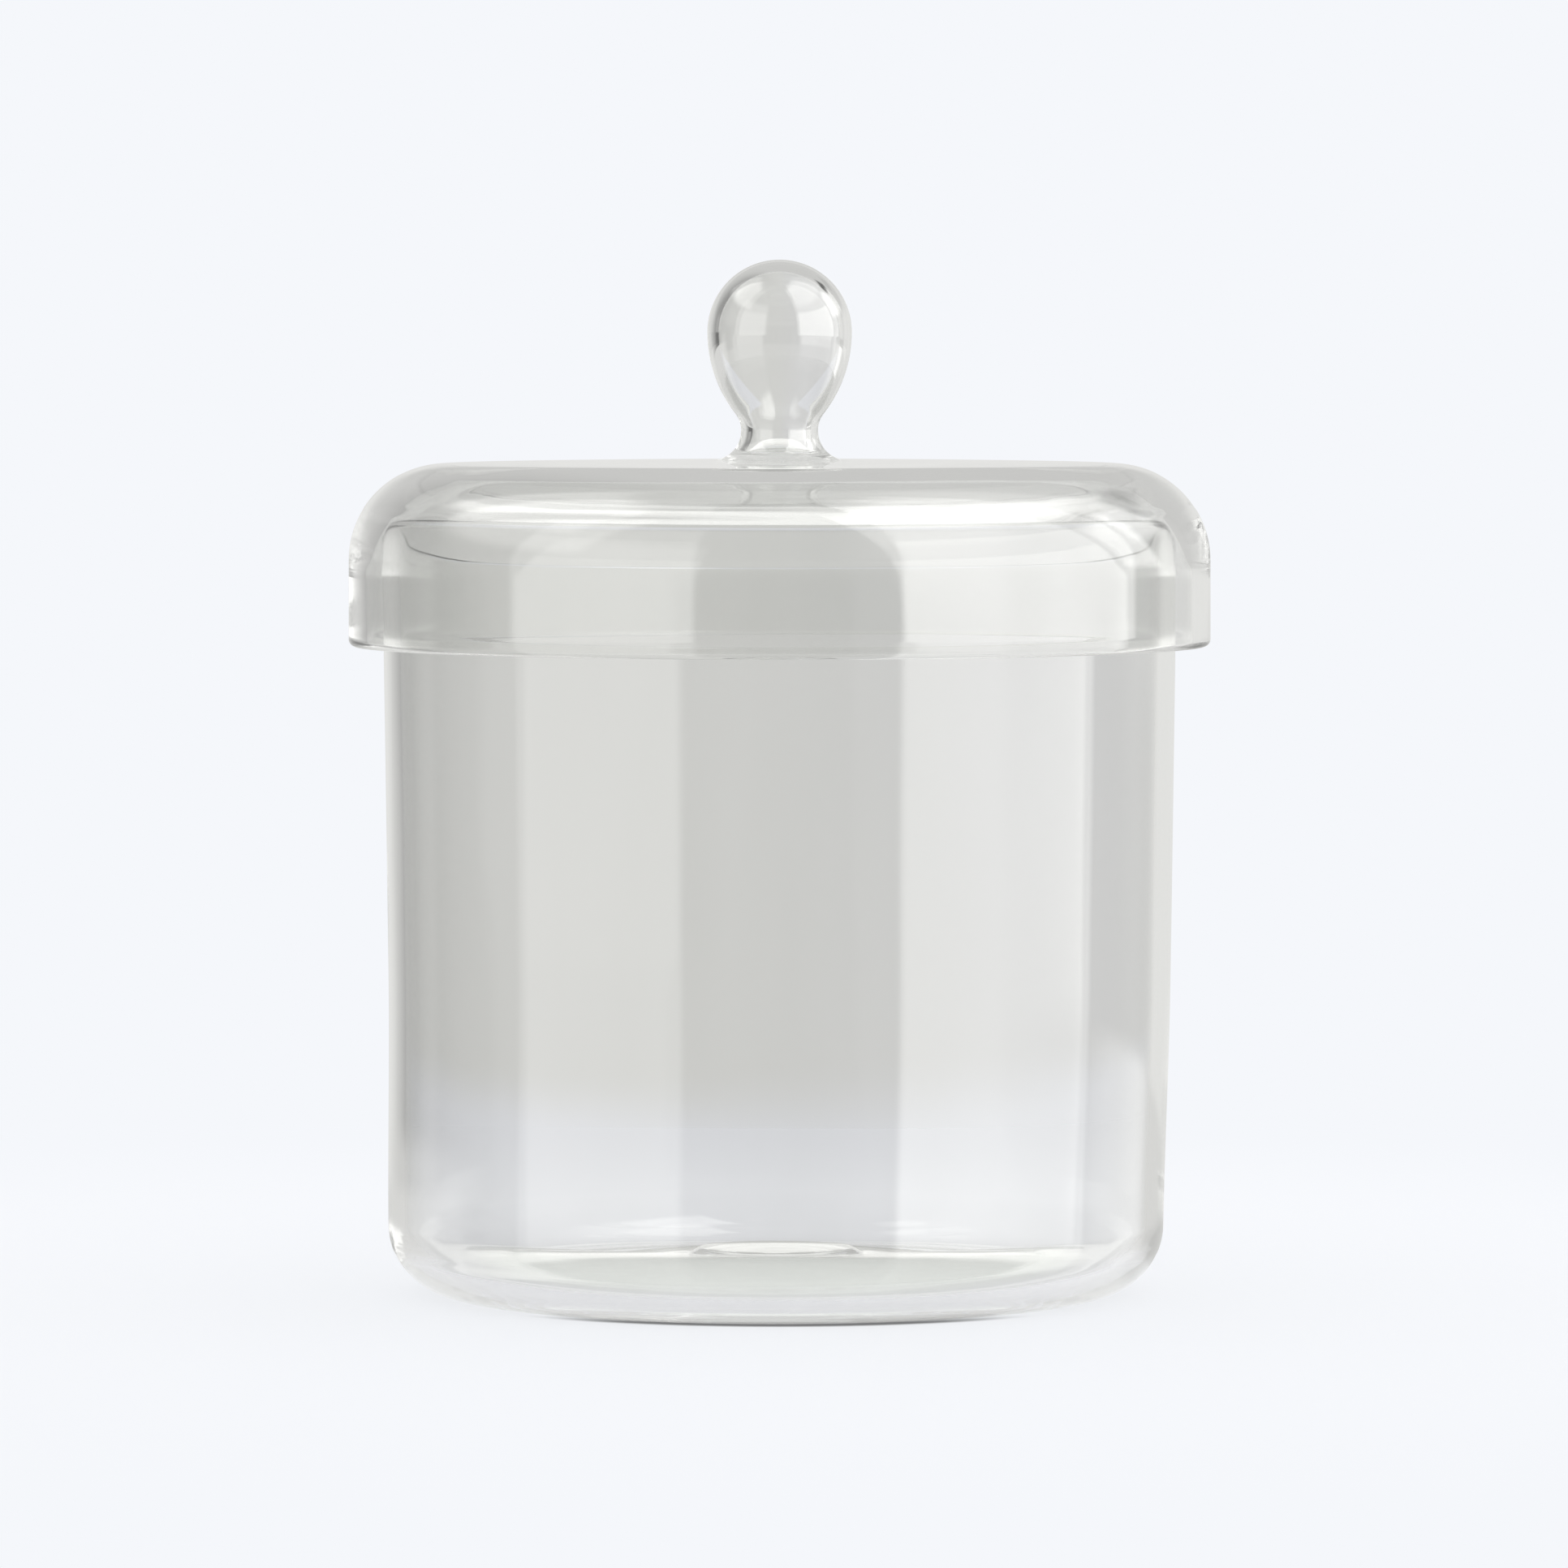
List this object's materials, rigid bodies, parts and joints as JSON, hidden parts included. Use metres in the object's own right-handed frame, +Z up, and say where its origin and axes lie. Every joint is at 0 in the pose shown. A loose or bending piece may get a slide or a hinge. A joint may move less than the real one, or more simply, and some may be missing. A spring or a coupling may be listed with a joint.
{
  "type": "specimen jar",
  "caption": "Clear glass jar with straight walls and rounded base, under a lift-off glass lid whose deep skirt hangs outside the rim, with a hollow ball knob.",
  "frame": {"origin": "centre of the flat ring that the jar rests on", "axes": "+Z up along the axis of the jar and lid; every piece is round about Z, so X and Y are free, and the picture looks along +Y"},
  "size_m": [0.13, 0.13, 0.1561],
  "materials": {
    "jar_glass": "clear blown glass, fire-polished, very slightly grey-green",
    "lid_glass": "clear blown glass, fire-polished, very slightly grey-green"
  },
  "bodies": {
    "jar": {"jar_body": "jar_glass"},
    "lid": {"lid_cap": "lid_glass", "lid_knob": "lid_glass"}
  },
  "joints": [
    {"name": "lid_lift", "type": "slide", "parent": "jar", "child": "lid", "axis": [0, 0, 1], "range_m": [0, 0.06]}
  ]
}
